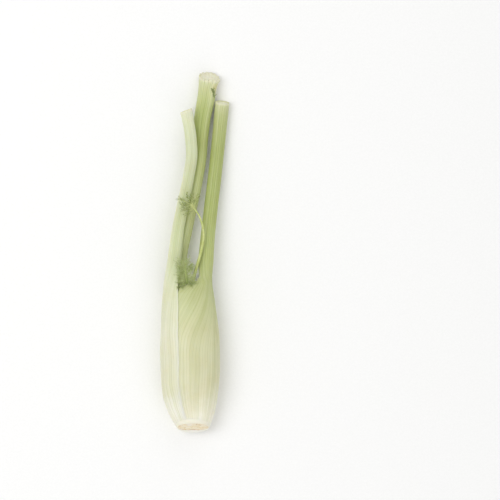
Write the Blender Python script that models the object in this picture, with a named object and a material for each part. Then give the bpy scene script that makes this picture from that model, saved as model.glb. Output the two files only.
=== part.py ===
"""Baby fennel bulb, trimmed for cooking and lying on its side.

Metres, +Z up. The bulb's long axis runs along Y, with the cut base at -Y and the cut stalks at +Y.
Three sheathing leaves wrap one another on a short cut stem. Each swells into a layer of the bulb
below and narrows into a ribbed stalk above. Young feathery fronds stand in the mouth between them.
"""

import math
import random

import bmesh
import bpy
import numpy as np
from mathutils import Vector

# Driving dimensions, in metres and degrees. Y is measured from the lowest point of the cut base.
BULB_WIDTH = 0.0364
BULB_DEPTH = 0.0268
TALL_STALK_REACH = 0.2148
RIGHT_STALK_REACH = 0.1990
SHORT_STALK_REACH = 0.1935
BASE_CUT_TILT = 24.0
BASE_Y = 0.0030
BASE_THICK = 0.0020
SHEATHS_START = BASE_Y + BASE_THICK + 0.0003
PLATE_SIDES = 40
SCAR_INSET = 0.0026
SCAR_PROUD = 0.0003
SCAR_LIFT = 0.0008

FULL_SHEATH = 0.0042
LOW_SHEATH = 0.0030
SHEATH_EDGE = 0.0007
LAYER_GAP = 0.00045
HEART_INSET = 0.0052

RIB_HEIGHT = 0.00030
SHEATH_RIB_SHARE = 0.45
RIBS_PER_FACE = 11
POINTS_PER_RIB = 3
INNER_POINTS = 14
RIBS_ROUND_HEART = 14

NEEDLE_RADIUS = 0.00040

# The bulb's outline along Y: left and right edges as shares of its width, half its depth as a
# share of its depth, and the height of its underside.
BULB_ROWS = (
    (0.0038, -0.275, 0.275, 0.318, 0.0032),
    (0.0081, -0.343, 0.319, 0.362, 0.0022),
    (0.0122, -0.407, 0.354, 0.396, 0.0014),
    (0.0162, -0.451, 0.384, 0.428, 0.0009),
    (0.0204, -0.492, 0.409, 0.455, 0.0005),
    (0.0261, -0.519, 0.431, 0.478, 0.0001),
    (0.0367, -0.536, 0.448, 0.496, -0.0005),
    (0.0480, -0.548, 0.451, 0.500, -0.0006),
    (0.0640, -0.538, 0.423, 0.478, -0.0003),
    (0.0790, -0.517, 0.366, 0.430, 0.0007),
    (0.0900, -0.489, 0.320, 0.388, 0.0018),
    (0.1040, -0.423, 0.288, 0.343, 0.0028),
)
BASE_CENTRE_Z = BULB_ROWS[0][4] + BULB_ROWS[0][3] * BULB_DEPTH

# Each stalk's centre line: Y, X, Z, half its width and half its thickness.
SHORT_STALK = (
    (0.088, -0.0134, 0.0166, 0.0048, 0.0032),
    (0.105, -0.0111, 0.0166, 0.0041, 0.0029),
    (0.121, -0.0091, 0.0157, 0.0038, 0.0028),
    (0.137, -0.0061, 0.0146, 0.0036, 0.0027),
    (0.153, -0.0028, 0.0139, 0.0035, 0.0027),
    (0.166, -0.0008, 0.0136, 0.0035, 0.0027),
    (0.178, -0.0014, 0.0137, 0.0035, 0.0027),
    (0.195, -0.0044, 0.0142, 0.0035, 0.0028),
)
RIGHT_STALK = (
    (0.082, 0.0064, 0.0134, 0.0058, 0.0042),
    (0.098, 0.0074, 0.0122, 0.0047, 0.0038),
    (0.114, 0.0084, 0.0106, 0.0044, 0.0036),
    (0.132, 0.0102, 0.0086, 0.0043, 0.0036),
    (0.152, 0.0126, 0.0066, 0.0042, 0.0036),
    (0.176, 0.0152, 0.0048, 0.0042, 0.0037),
    (0.200, 0.0175, 0.0038, 0.0044, 0.0040),
)
TALL_STALK = (
    (0.088, -0.0088, 0.0096, 0.0055, 0.0042),
    (0.105, -0.0087, 0.0088, 0.0050, 0.0040),
    (0.120, -0.0057, 0.0083, 0.0050, 0.0040),
    (0.134, -0.0028, 0.0075, 0.0050, 0.0040),
    (0.148, 0.0002, 0.0069, 0.0050, 0.0041),
    (0.163, 0.0028, 0.0063, 0.0050, 0.0042),
    (0.178, 0.0042, 0.0057, 0.0050, 0.0043),
    (0.190, 0.0057, 0.0053, 0.0051, 0.0044),
    (0.200, 0.0075, 0.0049, 0.0053, 0.0046),
    (0.208, 0.0085, 0.0048, 0.0053, 0.0047),
    (0.212, 0.0092, 0.0050, 0.0059, 0.0050),
    (0.217, 0.0096, 0.0053, 0.0062, 0.0053),
)

# Each sheathing leaf: the angles round the bulb of its front and back margins low down, those that
# they draw in to below its stalk, where along Y each does so, and where its stalk takes shape.
LEFT_LEAF = {
    "name": "leaf_left",
    "low_span": (112.0, 300.0),
    "high_span": (114.0, 196.0),
    "start_draws_in": (0.060, 0.095),
    "end_draws_in": (0.056, 0.095),
    "narrows": (0.080, 0.107),
    "stalk": SHORT_STALK,
    "stalk_faces": 125.0,
    "reach": SHORT_STALK_REACH,
    "cut_slope": (0.40, -0.30),
}
RIGHT_LEAF = {
    "name": "leaf_right",
    "low_span": (-75.0, 127.0),
    "high_span": (-42.0, 56.0),
    "start_draws_in": (0.056, 0.093),
    "end_draws_in": (0.0835, 0.0930),
    "narrows": (0.081, 0.104),
    "stalk": RIGHT_STALK,
    "stalk_faces": 30.0,
    "reach": RIGHT_STALK_REACH,
    "cut_slope": (-0.12, -0.25),
}
HEART_NARROWS = (0.060, 0.101)
TALL_CUT_SLOPE = (-0.08, -0.52)
CUT_SLOPE_FADE = 0.010
STALK_FACE_ARC = 216.0

MATERIALS = {
    "fennel_flesh": ((0.74, 0.76, 0.52), 0.38),
    "cut_stem": ((0.80, 0.70, 0.47), 0.62),
    "frond_green": ((0.30, 0.38, 0.12), 0.55),
}


def clear_scene():
    for item in list(bpy.data.objects):
        bpy.data.objects.remove(item, do_unlink=True)


def material(name):
    colour, roughness = MATERIALS[name]
    made = bpy.data.materials.get(name) or bpy.data.materials.new(name)
    made.use_nodes = True
    shader = made.node_tree.nodes["Principled BSDF"]
    shader.inputs["Base Color"].default_value = (*colour, 1.0)
    shader.inputs["Roughness"].default_value = roughness
    shader.inputs["Metallic"].default_value = 0.0
    made.diffuse_color = (*colour, 1.0)
    return made


def smooth_step(low, high, value):
    share = min(1.0, max(0.0, (value - low) / (high - low)))
    return share * share * (3.0 - 2.0 * share)


def between(low, high, share):
    return low + (high - low) * share


def row_at(rows, y):
    """The other columns of rows at y, on a smooth curve through them. The first column is Y."""
    table = np.array(rows)
    at = table[:, 0]
    slopes = np.gradient(table[:, 1:], at, axis=0)
    y = min(max(y, at[0]), at[-1])
    k = min(int(np.searchsorted(at, y, side="right")) - 1, len(at) - 2)
    step = at[k + 1] - at[k]
    t = (y - at[k]) / step
    return (
        (2 * t**3 - 3 * t**2 + 1) * table[k, 1:]
        + (t**3 - 2 * t**2 + t) * step * slopes[k]
        + (3 * t**2 - 2 * t**3) * table[k + 1, 1:]
        + (t**3 - t**2) * step * slopes[k + 1]
    )


def bulb_point(y, degrees, inset):
    """X and Z of the bulb's surface at this angle from +X towards +Z, moved inwards by inset."""
    left, right, half_depth, underside = row_at(BULB_ROWS, y)
    half_width = (right - left) / 2 * BULB_WIDTH
    centre_x = (right + left) / 2 * BULB_WIDTH
    half_depth *= BULB_DEPTH
    angle = math.radians(degrees)
    across = centre_x + (half_width - inset) * math.cos(angle)
    height = underside + half_depth + (half_depth - inset) * math.sin(angle)
    return np.array([across, height])


def stalk_point(row, degrees, raised):
    x, z, half_width, half_thick = row
    angle = math.radians(degrees)
    across = x + (half_width + raised) * math.cos(angle)
    return np.array([across, z + (half_thick + raised) * math.sin(angle)])


def span_at(leaf, y):
    """The angles of a leaf's two margins at y: its sheath draws in towards its stalk."""
    start = between(leaf["low_span"][0], leaf["high_span"][0], smooth_step(*leaf["start_draws_in"], y))
    end = between(leaf["low_span"][1], leaf["high_span"][1], smooth_step(*leaf["end_draws_in"], y))
    return start, end


def sheath_thickness(y, share):
    """A sheath's thickness at a share of its way round, thin at both margins."""
    full = between(LOW_SHEATH, FULL_SHEATH, smooth_step(0.007, 0.035, y))
    return SHEATH_EDGE + (full - SHEATH_EDGE) * math.sin(math.pi * share) ** 0.7


def inset_under_left_leaf(y, degrees):
    """How far below the bulb's surface the right leaf's outer face lies: it passes under the left leaf."""
    front, back = span_at(LEFT_LEAF, y)
    turned = degrees if degrees > 0.0 else degrees + 360.0
    if front <= turned <= back:
        return sheath_thickness(y, (turned - front) / (back - front)) + LAYER_GAP
    away = min(abs(degrees - front), abs(degrees + 360.0 - back))
    return (SHEATH_EDGE + LAYER_GAP) * math.exp(-((away / 24.0) ** 2))


def rib(k):
    """Height of the kth point round a face: ribs with rounded crests between narrow grooves."""
    return RIB_HEIGHT * math.cos(2 * math.pi * (k - POINTS_PER_RIB / 2) / POINTS_PER_RIB)


def sheath_ring(leaf, y):
    """The closed outline of a sheathing leaf at y: a crescent low down, a round stalk higher up."""
    start, end = span_at(leaf, y)
    narrowed = smooth_step(*leaf["narrows"], y)
    row = row_at(leaf["stalk"], y)
    face = leaf["stalk_faces"]
    crowding = 1.0 + 0.6 * smooth_step(0.045, 0.085, y) * (1.0 - narrowed)
    rib_share = between(SHEATH_RIB_SHARE, 1.0, narrowed)
    outer_count = RIBS_PER_FACE * POINTS_PER_RIB + 1
    points = []
    for k in range(outer_count):
        offset = 2.0 * k / (outer_count - 1) - 1.0
        share = 0.5 + 0.5 * math.copysign(abs(offset) ** crowding, offset)
        degrees = between(start, end, share)
        raised = rib(k) * rib_share * min(1.0, 6 * min(share, 1 - share))
        inset = inset_under_left_leaf(y, degrees) if leaf is RIGHT_LEAF else 0.0
        low = bulb_point(y, degrees, inset - raised)
        high = stalk_point(row, face + (share - 0.5) * STALK_FACE_ARC, raised)
        points.append(between(low, high, narrowed))
    for k in range(INNER_POINTS):
        share = 1.0 - k / (INNER_POINTS - 1)
        degrees = between(start, end, share)
        inset = inset_under_left_leaf(y, degrees) if leaf is RIGHT_LEAF else 0.0
        low = bulb_point(y, degrees, inset + sheath_thickness(y, share))
        high = stalk_point(row, face + 122.0 + (1.0 - share) * 116.0, 0.0)
        points.append(between(low, high, narrowed))
    return points


def heart_ring(y):
    """The outline of the middle leaf: the bulb's core low down, the tall stalk higher up."""
    narrowed = smooth_step(*HEART_NARROWS, y)
    row = row_at(TALL_STALK, y)
    count = RIBS_ROUND_HEART * POINTS_PER_RIB
    rounding = 0.0012 * (1.0 - smooth_step(SHEATHS_START, SHEATHS_START + 0.004, y))
    points = []
    for k in range(count):
        degrees = 360.0 * k / count
        low = bulb_point(y, degrees, HEART_INSET + rounding)
        high = stalk_point(row, degrees, rib(k) * narrowed)
        points.append(between(low, high, narrowed))
    return points


def base_lean(y):
    """How steeply a section near the base leans with the slanting cut."""
    return math.tan(math.radians(BASE_CUT_TILT)) * (1.0 - smooth_step(0.008, 0.048, y))


def placed_ring(points, y, reach, cut_slope):
    """A ring of X and Z at y as points in space, leaning with the base's cut or the stalk's."""
    centre = np.mean(points, axis=0)
    share = smooth_step(reach - CUT_SLOPE_FADE, reach, y)
    ring = []
    for x, z in points:
        slope = cut_slope[0] * (x - centre[0]) + cut_slope[1] * (z - centre[1])
        along = y + base_lean(y) * (z - BASE_CENTRE_Z) + slope * share
        ring.append(Vector((x, along, max(z, 0.0))))
    return ring


def skinned(name, rings, material_name):
    """One closed solid through the rings, with flat ends."""
    mesh = bmesh.new()
    loops = [[mesh.verts.new(point) for point in ring] for ring in rings]
    count = len(loops[0])
    for below, above in zip(loops, loops[1:]):
        for k in range(count):
            n = (k + 1) % count
            mesh.faces.new((below[n], below[k], above[k], above[n]))
    mesh.faces.new(loops[0])
    mesh.faces.new(list(reversed(loops[-1])))
    data = bpy.data.meshes.new(name)
    mesh.to_mesh(data)
    mesh.free()
    data.shade_smooth()
    data.set_sharp_from_angle(angle=math.radians(40))
    made = bpy.data.objects.new(name, data)
    bpy.context.scene.collection.objects.link(made)
    data.materials.append(material(material_name))
    return made


def stations(low, high, count):
    return [between(low, high, k / (count - 1)) for k in range(count)]


def sheathing_leaf(leaf):
    reach = leaf["reach"]
    heights = [*stations(SHEATHS_START, 0.066, 12), *stations(0.0705, 0.0825, 4)]
    heights += [*stations(0.0845, 0.0965, 7), *stations(0.100, 0.108, 3)]
    heights += [*stations(0.116, reach - CUT_SLOPE_FADE, 8), reach - CUT_SLOPE_FADE / 2, reach]
    rings = [placed_ring(sheath_ring(leaf, y), y, reach, leaf["cut_slope"]) for y in heights]
    return skinned(leaf["name"], rings, "fennel_flesh")


def middle_leaf():
    reach = TALL_STALK_REACH
    heights = [SHEATHS_START, SHEATHS_START + 0.002, SHEATHS_START + 0.005, 0.022, 0.036, 0.050]
    heights += [*stations(0.060, 0.108, 10), *stations(0.117, 0.2048, 9), 0.2085, 0.2120, reach]
    rings = [placed_ring(heart_ring(y), y, reach, TALL_CUT_SLOPE) for y in heights]
    return skinned("leaf_middle", rings, "fennel_flesh")


def base_plate():
    """The cut stem that the leaves grow from: a rounded oval with a low scar on its slanting cut."""
    layers = (
        (-SCAR_PROUD, SCAR_INSET + 0.0003, SCAR_LIFT),
        (-SCAR_PROUD / 2, SCAR_INSET, SCAR_LIFT),
        (0.0, SCAR_INSET - 0.0007, SCAR_LIFT / 2),
        (0.0001, 0.0011, 0.0),
        (0.0005, 0.0005, 0.0),
        (0.0013, 0.0001, 0.0),
        (BASE_THICK, 0.0, 0.0),
    )
    rings = []
    for above_cut, inset, lift in layers:
        y = BASE_Y + above_cut
        outline = [bulb_point(y, 360.0 * k / PLATE_SIDES, inset) for k in range(PLATE_SIDES)]
        lean = base_lean(y)
        raised = [(x, z + lift) for x, z in outline]
        rings.append([Vector((x, y + lean * (z - BASE_CENTRE_Z), z)) for x, z in raised])
    return skinned("base_plate", rings, "cut_stem")


def rod(points, start_radius, end_radius, sides):
    """A tapered rod of few sides along the points."""
    rings = []
    last = len(points) - 1
    for k, point in enumerate(points):
        along = (points[min(k + 1, last)] - points[max(k - 1, 0)]).normalized()
        side = along.cross(Vector((0.31, 0.22, 0.93))).normalized()
        up = side.cross(along)
        radius = between(start_radius, end_radius, k / last)
        turns = [2 * math.pi * n / sides for n in range(sides)]
        rings.append([point + radius * (math.cos(t) * side + math.sin(t) * up) for t in turns])
    return skinned("rod", rings, "frond_green")


def keep_main_body(data):
    """Drops sealed hollows and loose scraps that a union leaves: all but the largest connected body."""
    mesh = bmesh.new()
    mesh.from_mesh(data)
    unseen = set(mesh.faces)
    bodies = []
    while unseen:
        body = {unseen.pop()}
        edge_of_body = list(body)
        while edge_of_body:
            face = edge_of_body.pop()
            near = {other for edge in face.edges for other in edge.link_faces} & unseen
            unseen -= near
            body |= near
            edge_of_body.extend(near)
        bodies.append(body)
    main_body = max(bodies, key=len)
    spare = [face for face in mesh.faces if face not in main_body]
    bmesh.ops.delete(mesh, geom=spare, context="FACES")
    mesh.to_mesh(data)
    mesh.free()


def fused(name, pieces):
    """All the pieces as one closed body."""
    body = pieces[0]
    body.name = name
    others = bpy.data.collections.new(name + "_pieces")
    bpy.context.scene.collection.children.link(others)
    for piece in pieces[1:]:
        bpy.context.scene.collection.objects.unlink(piece)
        others.objects.link(piece)
    union = body.modifiers.new("union", "BOOLEAN")
    union.operation = "UNION"
    union.operand_type = "COLLECTION"
    union.collection = others
    union.solver = "MANIFOLD"
    shape = bpy.context.evaluated_depsgraph_get()
    whole = bpy.data.meshes.new_from_object(body.evaluated_get(shape))
    body.modifiers.clear()
    body.data = whole
    keep_main_body(whole)
    for piece in pieces[1:]:
        bpy.data.objects.remove(piece, do_unlink=True)
    bpy.data.collections.remove(others)
    return body


def on_path(points, share):
    """The point at a share of the way along a smooth curve through the points."""
    rows = [(k / (len(points) - 1), *point) for k, point in enumerate(points)]
    return Vector(row_at(rows, share))


def frond(spray):
    """A feathery young leaf: a stem, side ribs on both its sides, and needles on both of theirs."""
    draw = random.Random(spray["seed"])
    stem = spray["stem"]
    pieces = [rod([on_path(stem, k / 10) for k in range(11)], spray["stem_radius"], NEEDLE_RADIUS, 6)]
    front = Vector((0.0, 0.0, 1.0))
    for k in range(spray["side_ribs"]):
        share = between(spray["bare"], 0.97, k / (spray["side_ribs"] - 1))
        root = on_path(stem, share)
        along = (on_path(stem, min(1.0, share + 0.04)) - on_path(stem, share - 0.04)).normalized()
        across = along.cross(front).normalized() * (1 if k % 2 else -1)
        heading = along * 0.9 + across * draw.uniform(0.5, 0.8) + front * draw.uniform(0.05, 0.35)
        heading.normalize()
        length = spray["rib_length"] * draw.uniform(0.75, 1.1)
        tip = root + heading * length
        pieces.append(rod([root, tip], NEEDLE_RADIUS * 1.2, NEEDLE_RADIUS, 4))
        sideways = heading.cross(front).normalized()
        for n in range(spray["needles"]):
            place = root + heading * length * between(0.3, 0.97, n / (spray["needles"] - 1))
            turn = sideways * (1 if n % 2 else -1) * draw.uniform(0.4, 0.8)
            aim = heading + turn + front * draw.uniform(-0.05, 0.4)
            end = place + aim.normalized() * spray["needle_length"] * draw.uniform(0.7, 1.15)
            start = place - heading * NEEDLE_RADIUS
            pieces.append(rod([start, end], NEEDLE_RADIUS, NEEDLE_RADIUS * 0.85, 3))
    return fused(spray["name"], pieces)


FRONDS = (
    {
        "name": "frond_crotch",
        "stem": (
            Vector((-0.0038, 0.0845, 0.0163)),
            Vector((-0.0039, 0.0892, 0.0190)),
            Vector((-0.0050, 0.0937, 0.0213)),
            Vector((-0.0066, 0.0985, 0.0221)),
        ),
        "stem_radius": 0.0007,
        "side_ribs": 11,
        "bare": 0.30,
        "rib_length": 0.0034,
        "needles": 5,
        "needle_length": 0.0026,
        "seed": 11,
    },
    {
        "name": "frond_long",
        "stem": (
            Vector((-0.0016, 0.0830, 0.0158)),
            Vector((0.0012, 0.0960, 0.0172)),
            Vector((0.0046, 0.1080, 0.0172)),
            Vector((0.0064, 0.1190, 0.0168)),
            Vector((0.0042, 0.1290, 0.0170)),
            Vector((-0.0006, 0.1360, 0.0184)),
            Vector((-0.0036, 0.1400, 0.0192)),
        ),
        "stem_radius": 0.0010,
        "side_ribs": 9,
        "bare": 0.74,
        "rib_length": 0.0042,
        "needles": 5,
        "needle_length": 0.0030,
        "seed": 5,
    },
    {
        "name": "frond_stub",
        "stem": (
            Vector((0.0136, 0.1995, 0.0070)),
            Vector((0.0136, 0.2020, 0.0078)),
            Vector((0.0135, 0.2045, 0.0086)),
        ),
        "stem_radius": 0.0006,
        "side_ribs": 3,
        "bare": 0.4,
        "rib_length": 0.0020,
        "needles": 3,
        "needle_length": 0.0015,
        "seed": 3,
    },
)


def centre_on_origin():
    """Moves everything so that the origin is the middle of the box's bottom face."""
    shown = [item for item in bpy.context.scene.objects if item.type == "MESH"]
    corners = np.array([vertex.co for item in shown for vertex in item.data.vertices])
    middle = (corners.min(axis=0) + corners.max(axis=0)) / 2
    for item in shown:
        for vertex in item.data.vertices:
            vertex.co.x -= middle[0]
            vertex.co.y -= middle[1]


def main():
    clear_scene()
    base_plate()
    sheathing_leaf(LEFT_LEAF)
    sheathing_leaf(RIGHT_LEAF)
    middle_leaf()
    for spray in FRONDS:
        frond(spray)
    centre_on_origin()


main()
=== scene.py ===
import math
import random

import bpy
import numpy as np
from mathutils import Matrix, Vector


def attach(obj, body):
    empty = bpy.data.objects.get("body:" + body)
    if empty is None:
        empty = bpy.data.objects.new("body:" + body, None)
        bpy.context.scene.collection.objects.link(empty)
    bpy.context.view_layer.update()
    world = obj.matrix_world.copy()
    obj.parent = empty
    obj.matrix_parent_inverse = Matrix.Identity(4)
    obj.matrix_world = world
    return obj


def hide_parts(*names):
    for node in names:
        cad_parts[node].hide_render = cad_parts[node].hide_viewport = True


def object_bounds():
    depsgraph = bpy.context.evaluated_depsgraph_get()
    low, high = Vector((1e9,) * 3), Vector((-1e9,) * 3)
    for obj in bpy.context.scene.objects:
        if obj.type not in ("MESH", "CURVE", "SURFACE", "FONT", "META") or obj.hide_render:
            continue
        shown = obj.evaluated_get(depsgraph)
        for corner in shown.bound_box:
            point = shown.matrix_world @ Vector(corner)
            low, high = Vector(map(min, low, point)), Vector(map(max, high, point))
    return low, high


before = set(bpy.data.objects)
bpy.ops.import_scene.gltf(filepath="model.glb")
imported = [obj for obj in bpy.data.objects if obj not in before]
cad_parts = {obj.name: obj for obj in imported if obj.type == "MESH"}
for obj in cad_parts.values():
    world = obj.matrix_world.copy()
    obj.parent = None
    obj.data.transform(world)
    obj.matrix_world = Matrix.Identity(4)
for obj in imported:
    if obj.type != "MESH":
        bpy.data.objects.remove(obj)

cadLow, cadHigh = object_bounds()  # the CAD box, before any piece is replaced

# The bulb is laid out in metres from the lowest point of its cut base; this moves it into the frame.
bulbToFrame = np.array([-0.00097702, -0.10869632, 0.0])
bulbLength = 218.0  # mm, as in the colour stops along the flesh
meshing = {
    "merge": 0.000002,  # points this close are one and the same
    "sharpFrom": 52.0,  # degrees, so a knife cut's rim stays crisp
}


# small helpers

def deselectAll():
    bpy.ops.object.select_all(action="DESELECT")


def smoothStep(low, high, value):
    share = np.clip((value - low) / (high - low), 0.0, 1.0)
    return share * share * (3.0 - 2.0 * share)


def between(low, high, share):
    return low + (high - low) * share


def rowAt(rows, y):  # a smooth curve through the rows, whose first column is Y
    table = np.array(rows)
    at = table[:, 0]
    slopes = np.gradient(table[:, 1:], at, axis=0)
    y = np.clip(y, at[0], at[-1])
    k = np.clip(np.searchsorted(at, y, side="right") - 1, 0, len(at) - 2)
    step = (at[k + 1] - at[k])[..., None]
    t = (y - at[k])[..., None] / step
    return (
        (2 * t**3 - 3 * t**2 + 1) * table[k, 1:]
        + (t**3 - 2 * t**2 + t) * step * slopes[k]
        + (3 * t**2 - 2 * t**3) * table[k + 1, 1:]
        + (t**3 - t**2) * step * slopes[k + 1]
    )


def waves(seed, count, lengths, turns):  # a table of gentle waves for uneven, grown surfaces
    draw = random.Random(seed)
    table = []
    for _ in range(count):
        turn = draw.randint(*turns)
        length = draw.uniform(*lengths)
        start = draw.uniform(0, math.tau)
        size = draw.uniform(0.5, 1.0)
        table.append((turn, length, start, size))
    return table


def waviness(table, y, degrees):  # -1 to 1 over the surface
    total = 0.0
    for turn, length, start, size in table:
        total = total + size * np.sin(np.radians(degrees) * turn + math.tau * y / length + start)
    return total / sum(size for *_, size in table)


# the shape of the whole bulb, as in the CAD

bulb = {
    "width": 0.0364,
    "depth": 0.0268,
    "cutTilt": 24.0,
    "leanEnds": (0.008, 0.048),  # where the sections stop leaning with the slanting cut
    "baseY": 0.0030,
    "rows": (  # Y, left and right edge as shares of the width, half depth as a share, underside
        (0.0038, -0.275, 0.275, 0.318, 0.0032), (0.0081, -0.343, 0.319, 0.362, 0.0022),
        (0.0122, -0.407, 0.354, 0.396, 0.0014), (0.0162, -0.451, 0.384, 0.428, 0.0009),
        (0.0204, -0.492, 0.409, 0.455, 0.0005), (0.0261, -0.519, 0.431, 0.478, 0.0001),
        (0.0367, -0.536, 0.448, 0.496, -0.0005), (0.0480, -0.548, 0.451, 0.500, -0.0006),
        (0.0640, -0.538, 0.423, 0.478, -0.0003), (0.0790, -0.517, 0.366, 0.430, 0.0007),
        (0.0900, -0.489, 0.320, 0.388, 0.0018), (0.1040, -0.423, 0.288, 0.343, 0.0028),
    ),
    "uneven": 0.00045,  # how deep the shallow dents of the grown surface go
    "unevenFrom": (0.010, 0.022),
    "unevenWaves": waves(4, 7, (0.022, 0.085), (1, 4)),
}
baseCentreZ = bulb["rows"][0][4] + bulb["rows"][0][3] * bulb["depth"]


def bulbPoint(y, degrees, inset):
    left, right, halfDepth, underside = np.moveaxis(rowAt(bulb["rows"], y), -1, 0)
    halfWidth = (right - left) / 2 * bulb["width"]
    centreX = (right + left) / 2 * bulb["width"]
    halfDepth = halfDepth * bulb["depth"]
    fade = smoothStep(*bulb["unevenFrom"], y)
    dent = bulb["uneven"] * (0.5 + 0.5 * waviness(bulb["unevenWaves"], y, degrees)) * fade
    angle = np.radians(degrees)
    across = centreX + (halfWidth - inset - dent) * np.cos(angle)
    height = underside + halfDepth + (halfDepth - inset - dent) * np.sin(angle)
    return np.stack([across, height], axis=-1)


def stalkPoint(row, degrees, raised):
    x, z, halfWidth, halfThick = (row[..., k] for k in range(4))
    angle = np.radians(degrees)
    across = x + (halfWidth + raised) * np.cos(angle)
    height = z + (halfThick + raised) * np.sin(angle)
    return np.stack([across, height], axis=-1)


def baseLean(y):  # how steeply a section near the base leans with the slanting cut
    return math.tan(math.radians(bulb["cutTilt"])) * (1.0 - smoothStep(*bulb["leanEnds"], y))


def placed(ring, y, alongExtra=0.0):  # X and Z at y as points in the frame, inside the CAD box
    x, z = ring[..., 0], ring[..., 1]
    along = y + baseLean(y) * (z - baseCentreZ) + alongExtra
    points = np.stack([x, along, np.maximum(z, 0.0)], axis=-1) + bulbToFrame
    return np.clip(points, np.array(cadLow), np.array(cadHigh))


def rolledSheet(name, points, attributes):
    # a flat grid rolled up: its long sides meet, rows that shrink to a point close its ends
    rows, columns = points.shape[:2]
    deselectAll()
    bpy.ops.mesh.primitive_grid_add(x_subdivisions=columns - 1, y_subdivisions=rows - 1, size=1.0)
    piece = bpy.context.object
    piece.name = name
    mesh = piece.data
    mesh.name = name
    flat = np.zeros(len(mesh.vertices) * 3)
    mesh.vertices.foreach_get("co", flat)
    flat = flat.reshape(-1, 3)
    column = np.rint((flat[:, 0] + 0.5) * (columns - 1)).astype(int)
    row = np.rint((flat[:, 1] + 0.5) * (rows - 1)).astype(int)
    mesh.vertices.foreach_set("co", points[row, column].ravel())
    fibres = attributes.pop("fibres", None)
    if fibres is not None:  # across the leaf, the UV follows the fibres of the flesh
        corners = np.zeros(len(mesh.loops), dtype=int)
        mesh.loops.foreach_get("vertex_index", corners)
        unwrapped = np.zeros(len(corners) * 2)
        mesh.uv_layers.active.data.foreach_get("uv", unwrapped)
        unwrapped[0::2] = fibres[row, column][corners]
        mesh.uv_layers.active.data.foreach_set("uv", unwrapped)
    for title, values in attributes.items():
        layer = mesh.attributes.new(title, "FLOAT", "POINT")
        onPoints = np.broadcast_to(values, (rows, columns))[row, column]
        layer.data.foreach_set("value", onPoints.astype(np.float32))
    bpy.ops.object.mode_set(mode="EDIT")
    bpy.ops.mesh.select_all(action="SELECT")
    bpy.ops.mesh.remove_doubles(threshold=meshing["merge"])
    bpy.ops.mesh.select_mode(type="EDGE")
    bpy.ops.mesh.select_all(action="DESELECT")
    bpy.ops.mesh.select_non_manifold(
        use_wire=False, use_multi_face=False, use_non_contiguous=False, use_verts=False)
    bpy.ops.mesh.edge_face_add()
    bpy.ops.mesh.select_all(action="SELECT")
    bpy.ops.mesh.normals_make_consistent(inside=False)
    bpy.ops.object.mode_set(mode="OBJECT")
    bpy.ops.object.shade_smooth_by_angle(angle=math.radians(meshing["sharpFrom"]))
    return piece


def finished(piece, node, slotName, *materials):
    for material in materials:
        piece.data.materials.append(material)
    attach(piece, "root")
    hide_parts(node)
    print("made", piece.name, "for", node, len(piece.data.polygons), "faces")


# materials

def linear(code):  # an sRGB hex colour as linear light
    parts = [int(code[k:k + 2], 16) / 255 for k in (1, 3, 5)]
    return (*(c / 12.92 if c <= 0.04045 else ((c + 0.055) / 1.055) ** 2.4 for c in parts), 1.0)


def setInputs(tree, node, inputs):  # to a number, a colour code, a socket, or a node's first output
    for key, value in inputs.items():
        socket = node.inputs[key]
        if isinstance(value, bpy.types.Node):
            value = value.outputs[0]
        if isinstance(value, bpy.types.NodeSocket):
            tree.links.new(value, socket)
        else:
            socket.default_value = linear(value) if isinstance(value, str) else value


def addNode(tree, kind, settings=None, inputs=None, stops=None):
    node = tree.nodes.new("ShaderNode" + kind)
    for key, value in (settings or {}).items():
        setattr(node, key, value)
    setInputs(tree, node, inputs or {})
    if stops:
        marks = node.color_ramp.elements
        while len(marks) < len(stops):
            marks.new(0.5)
        for mark, (position, colour) in zip(marks, stops):
            mark.position = position
            mark.color = linear(colour) if isinstance(colour, str) else (colour, colour, colour, 1.0)
    return node


def newMaterial(name, shaderValues):
    material = bpy.data.materials.new(name)
    material.use_nodes = True
    tree = material.node_tree
    tree.nodes.clear()
    shader = addNode(tree, "BsdfPrincipled", inputs=shaderValues)
    addNode(tree, "OutputMaterial", inputs={"Surface": shader})
    return material, tree, shader


mixing = {"data_type": "RGBA"}
staining = {"data_type": "RGBA", "blend_type": "MULTIPLY"}


def layered(tree, colour, tints):  # lays each tint over the colour, where its source runs from start to full
    for source, start, full, depth, manner, tint in tints:
        share = addNode(tree, "MapRange", inputs={
            "Value": source, "From Min": start, "From Max": full, "To Max": depth})
        tinted = addNode(tree, "Mix", manner, {0: share, 6: colour, 7: tint})
        colour = tinted.outputs[2]
    return colour


# Fresh fennel flesh: a thin waxy skin over pale, juicy, lengthwise fibres. It is satin, glows a little
# at thin margins, is ivory at the base and turns green up the stalks, with pale ribs and greener grooves.
fleshLook = {
    "shader": {
        "IOR": 1.42, "Subsurface Weight": 0.28, "Subsurface Radius": (1.0, 0.85, 0.42),
        "Subsurface Scale": 0.0022, "Coat Weight": 0.12, "Coat Roughness": 0.28},
    "roughness": (0.34, 0.52),
    "dryRoughness": 0.72,
    "streaks": (110.0, 5.0, 1.0),  # streaks round and along the leaf, each about 0.5 mm wide on the bulb
    "bands": (17.0, 2.0, 1.0),  # broad soft bands of paler and greener flesh that run up a stalk
    "blotchSize": 0.014,
    "scuffsPerMetre": 900.0,  # small brown scuffs, about 1 mm apart
    "strays": 0.06,  # how far the colours along the leaf stray, as a share of its length
    "cellSize": 0.00045,
    "fibreBump": 0.00006,
    "cellBump": 0.00002,
    "crestGain": 0.16,
    "grooveTint": "#b9c183",
    "crestTint": "#f7f5e4",
    "bandTint": "#c8d197",
    "streakTint": "#ccd29c",
    "warmTint": "#f4e9cf",
    "marginTint": "#f0eed8",
    "scuffTint": "#b9975d",
    "dryTint": "#e9e7cf",
}


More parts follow.
